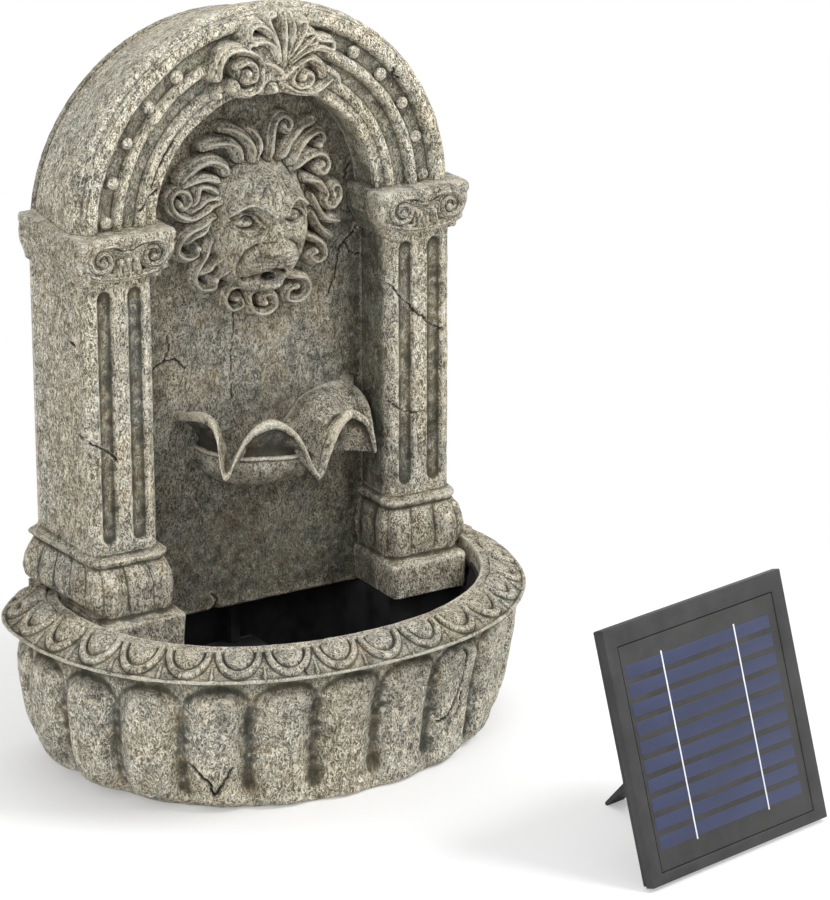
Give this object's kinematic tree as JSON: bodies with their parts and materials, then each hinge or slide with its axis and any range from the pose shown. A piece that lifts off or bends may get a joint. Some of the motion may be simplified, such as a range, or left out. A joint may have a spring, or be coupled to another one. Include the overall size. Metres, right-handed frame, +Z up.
{
  "type": "garden wall fountain",
  "caption": "Small stone-look wall fountain: a lion mask in an arched niche between fluted pilasters pours into a shell bowl above a gadrooned basin; with pump and solar panel on a folding leg.",
  "frame": {"origin": "middle of the basin's foot, on the ground", "axes": "+Z up, the lion faces -Y, +X to the right of someone who looks at the lion"},
  "size_m": [0.4394, 0.435, 0.5263],
  "materials": {
    "stone": "matte",
    "dark_stone": "matte",
    "black_plastic": "matte",
    "pump_plastic": "satin",
    "soft_rubber": "matte",
    "hose_black": "satin",
    "steel": "satin",
    "ceramic": "polished",
    "cell_blue": "gloss",
    "panel_glass": "polished"
  },
  "bodies": {
    "fountain": {"arch": "stone", "back_panel": "dark_stone", "basin": "stone", "basin_liner": "black_plastic", "cable_grommet": "soft_rubber", "capital_left": "stone", "capital_right": "stone", "column_base_left": "stone", "column_base_right": "stone", "column_shaft_left": "stone", "column_shaft_right": "stone", "crest": "stone", "impeller_shaft": "ceramic", "lion_mask": "stone", "niche_panel": "stone", "pump_body": "pump_plastic", "pump_cover": "pump_plastic", "riser_hose": "hose_black", "scallop_bowl": "stone", "spout_pipe": "black_plastic", "suction_cup_1": "soft_rubber", "suction_cup_2": "soft_rubber", "suction_cup_3": "soft_rubber", "suction_cup_4": "soft_rubber"},
    "solar_panel": {"solar_back": "black_plastic", "solar_cells": "cell_blue", "solar_frame": "black_plastic", "solar_gland": "soft_rubber", "solar_glass": "panel_glass", "leg_pin": "steel", "back_screw_1": "steel", "back_screw_2": "steel", "back_screw_3": "steel", "back_screw_4": "steel"},
    "panel_leg": {"solar_leg": "black_plastic"},
    "rotor": {"impeller": "pump_plastic"},
    "dial": {"flow_dial": "black_plastic"},
    "cover": {"rear_cover": "black_plastic"}
  },
  "joints": [
    {"name": "panel_lift", "type": "slide", "parent": "fountain", "child": "solar_panel", "axis": [0, 0, 1], "range_m": [0, 0.3]},
    {"name": "leg_fold", "type": "hinge", "parent": "solar_panel", "child": "panel_leg", "pos_m": [0.15628, -0.27441, 0.08945], "axis": [0.9806, 0.1959, 0], "range_deg": [-56.8, 0]},
    {"name": "impeller_spin", "type": "hinge", "parent": "fountain", "child": "rotor", "pos_m": [0, 0.07, 0.0349], "axis": [0, 1, 0], "continuous": true},
    {"name": "dial_turn", "type": "hinge", "parent": "fountain", "child": "dial", "pos_m": [0, 0.088, 0.0349], "axis": [0, 1, 0], "range_deg": [-60, 60]},
    {"name": "cover_pull", "type": "slide", "parent": "fountain", "child": "cover", "axis": [0, 1, 0], "range_m": [0, 0.08]}
  ]
}
